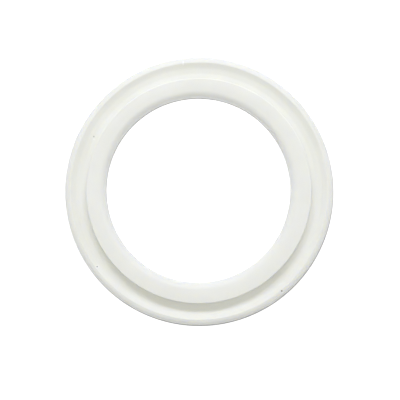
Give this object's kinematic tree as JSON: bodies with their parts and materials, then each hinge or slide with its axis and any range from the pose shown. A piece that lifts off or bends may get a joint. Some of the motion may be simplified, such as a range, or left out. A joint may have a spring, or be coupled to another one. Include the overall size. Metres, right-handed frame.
{
  "type": "oil seal",
  "caption": "One-piece moulded white ring seal with a raised inner collar, a recessed channel, a dished flange and a rounded rim bead, pressed between a shaft and its housing.",
  "frame": {"origin": "on the axis of the bore, in the plane of the flat underside", "axes": "+Z along the axis of the bore, from the flat underside towards the face with the collar and channel"},
  "size_m": [0.05, 0.05, 0.004],
  "materials": {
    "seal_polymer": "satin white moulded polymer, faintly waxy"
  },
  "bodies": {
    "root": {"seal_ring": "seal_polymer"}
  },
  "joints": []
}
